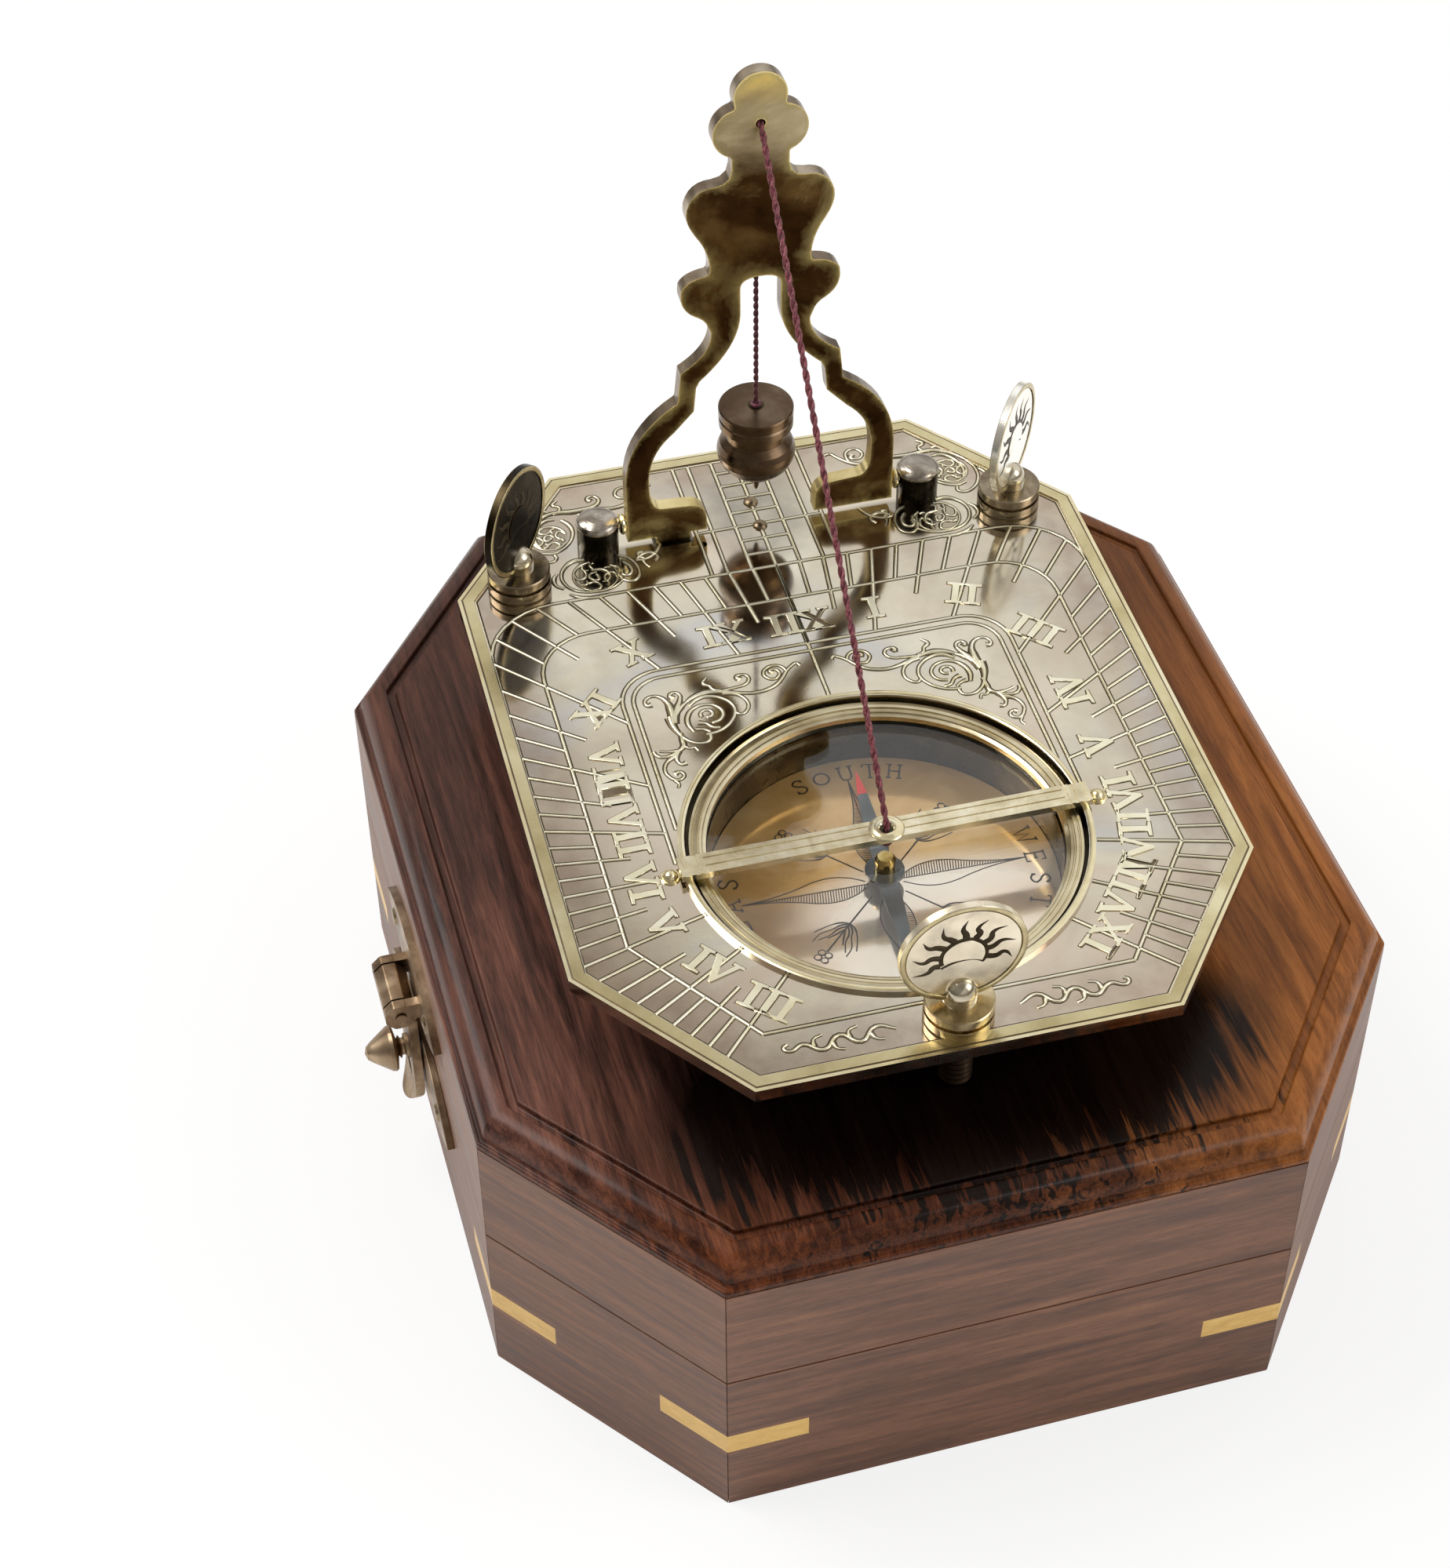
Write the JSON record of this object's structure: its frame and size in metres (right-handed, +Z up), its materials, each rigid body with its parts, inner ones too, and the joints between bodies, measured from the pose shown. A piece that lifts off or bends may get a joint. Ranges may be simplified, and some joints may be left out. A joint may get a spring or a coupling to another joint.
{
  "type": "sundial compass",
  "caption": "Brass string-gnomon sundial with a compass in its plate, a folding stand with a plumb bob and levelling screws, standing on its wooden case.",
  "frame": {"origin": "centre of the case's underside, on the table", "axes": "+X to the right as seen from the front, +Y from the front to the back, +Z up; the instrument stands on the lid turned by 1.3 degrees, as pictured"},
  "size_m": [0.1438, 0.1524, 0.1469],
  "materials": {
    "side_wood": "waxed hardwood boards",
    "top_wood": "dark polished hardwood",
    "pale_wood": "pale hardwood keys",
    "felt": "felt lining",
    "aged_brass": "aged satin brass",
    "bright_brass": "polished brass",
    "plate_brass": "etched satin brass, pale",
    "card_brass": "stamped coppery card",
    "steel": "plain steel",
    "blued_steel": "blued steel",
    "glass": "clear flat glass",
    "thread": "twisted red thread"
  },
  "bodies": {
    "case": {"base_walls": "side_wood", "base_floor": "side_wood", "corner_keys": "pale_wood", "base_felt": "felt", "catch_plate": "aged_brass", "base_hinge_leaves": "aged_brass", "hinge_pins": "steel", "base_screws": "aged_brass"},
    "lid": {"lid_walls": "side_wood", "lid_board": "top_wood", "lid_felt": "felt", "lid_hinge_leaves": "aged_brass", "hasp_plate": "aged_brass", "hasp_pin": "aged_brass", "lid_screws": "aged_brass"},
    "hasp": {"hasp_tongue": "aged_brass", "hasp_knob": "aged_brass"},
    "dial": {"dial_plate": "plate_brass", "compass_bowl": "bright_brass", "bezel_ring": "bright_brass", "compass_glass": "glass", "compass_card": "card_brass", "needle_pivot": "steel", "crossbar": "bright_brass", "thread_eyelet": "bright_brass", "bowl_studs": "bright_brass", "screw_collars": "aged_brass", "hinge_posts": "aged_brass", "pivot_pins": "bright_brass", "pivot_collars": "bright_brass", "leaf_spring": "steel", "spring_rivets": "plate_brass", "style_thread": "thread", "style_knot": "thread"},
    "needle": {"needle_blade": "blued_steel", "needle_cap": "bright_brass"},
    "stand": {"gnomon_stand": "aged_brass", "gnomon_knot": "thread"},
    "bob": {"bob_thread": "thread", "plumb_bob": "aged_brass"},
    "front_rod": {"front_screw": "aged_brass"},
    "front_head": {"front_stem": "aged_brass", "front_disc": "plate_brass"},
    "left_rod": {"left_screw": "aged_brass"},
    "left_head": {"left_stem": "aged_brass", "left_disc": "plate_brass"},
    "right_rod": {"right_screw": "aged_brass"},
    "right_head": {"right_stem": "aged_brass", "right_disc": "plate_brass"}
  },
  "joints": [
    {"name": "lid_hinge", "type": "hinge", "parent": "case", "child": "lid", "pos_m": [0.0674, 0, 0.02895], "axis": [0, 1, 0], "range_deg": [0, 100]},
    {"name": "hasp_hinge", "type": "hinge", "parent": "lid", "child": "hasp", "pos_m": [-0.0693, 0, 0.033], "axis": [0, 1, 0], "range_deg": [0, 130]},
    {"name": "dial_lift", "type": "slide", "parent": "lid", "child": "dial", "axis": [0, 0, 1], "range_m": [0, 0.15]},
    {"name": "needle_turn", "type": "hinge", "parent": "dial", "child": "needle", "pos_m": [-0.00144, -0.02059, 0.0597], "axis": [0, 0, 1], "continuous": true},
    {"name": "stand_fold", "type": "hinge", "parent": "dial", "child": "stand", "pos_m": [0.00013, 0.04859, 0.0711], "axis": [0.9997, -0.0227, 0], "range_deg": [0, 87], "deforming": ["style_thread"]},
    {"name": "bob_swing", "type": "hinge", "parent": "stand", "child": "bob", "pos_m": [0.00017, 0.05069, 0.1388], "axis": [0.9997, -0.0227, 0], "range_deg": [0, 75]},
    {"name": "front_rise", "type": "slide", "parent": "dial", "child": "front_rod", "axis": [0, 0, 1], "range_m": [0, 0.008]},
    {"name": "front_turn", "type": "hinge", "parent": "front_rod", "child": "front_head", "pos_m": [-0.0022, -0.05409, 0.0707], "axis": [0, 0, 1], "range_deg": [0, 2880]},
    {"name": "left_rise", "type": "slide", "parent": "dial", "child": "left_rod", "axis": [0, 0, 1], "range_m": [0, 0.008]},
    {"name": "left_turn", "type": "hinge", "parent": "left_rod", "child": "left_head", "pos_m": [-0.03838, 0.04456, 0.0707], "axis": [0, 0, 1], "range_deg": [0, 2880]},
    {"name": "right_rise", "type": "slide", "parent": "dial", "child": "right_rod", "axis": [0, 0, 1], "range_m": [0, 0.008]},
    {"name": "right_turn", "type": "hinge", "parent": "right_rod", "child": "right_head", "pos_m": [0.0384, 0.04282, 0.0707], "axis": [0, 0, 1], "range_deg": [0, 2880]}
  ],
  "couplings": [
    {"joint": "front_turn", "follows": "front_rise", "rad_per_m": 6283.2},
    {"joint": "left_turn", "follows": "left_rise", "rad_per_m": 6283.2},
    {"joint": "right_turn", "follows": "right_rise", "rad_per_m": 6283.2}
  ]
}
